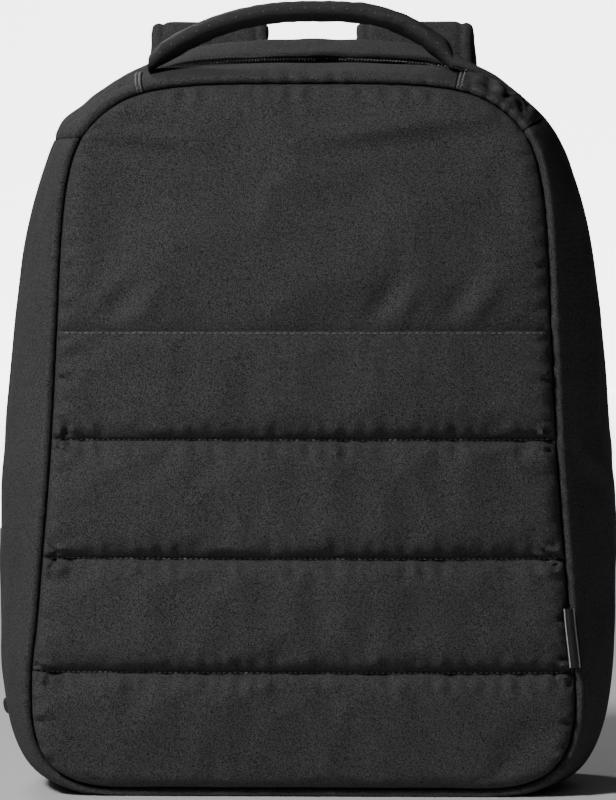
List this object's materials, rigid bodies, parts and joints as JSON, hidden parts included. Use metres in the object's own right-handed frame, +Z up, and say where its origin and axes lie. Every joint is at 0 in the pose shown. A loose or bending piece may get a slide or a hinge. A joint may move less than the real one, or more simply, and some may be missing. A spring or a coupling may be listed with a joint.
{
  "type": "laptop backpack",
  "caption": "Dark woven laptop backpack with a quilted front pocket, a zip round the sides, padded back, carry handle and shoulder straps.",
  "frame": {"origin": "middle of the base of the whole bag's box, on the floor it stands on", "axes": "+Z up, +X to the viewer's right as the front is looked at, +Y from the front to the back"},
  "size_m": [0.3364, 0.1886, 0.426],
  "materials": {
    "melange_cloth": "matt",
    "back_cloth": "matt",
    "webbing": "satin",
    "plastic": "satin",
    "zip": "satin",
    "ribbon": "satin"
  },
  "bodies": {
    "root": {"front_panel": "melange_cloth", "front_pocket_panel": "melange_cloth", "lower_gusset": "melange_cloth", "shoulder_gusset_left": "melange_cloth", "shoulder_gusset_right": "melange_cloth", "top_gusset": "melange_cloth", "rear_gusset": "melange_cloth", "carry_handle": "melange_cloth", "shoulder_strap_left": "melange_cloth", "shoulder_strap_right": "melange_cloth", "back_panel": "back_cloth", "strap_webbing_left": "webbing", "strap_webbing_right": "webbing", "lower_webbing_left": "webbing", "lower_webbing_right": "webbing", "anchor_tab_left": "webbing", "anchor_tab_right": "webbing", "strap_adjuster_left": "plastic", "strap_adjuster_right": "plastic", "zip_slider": "plastic", "zip_tape": "zip", "side_label": "ribbon"}
  },
  "joints": []
}
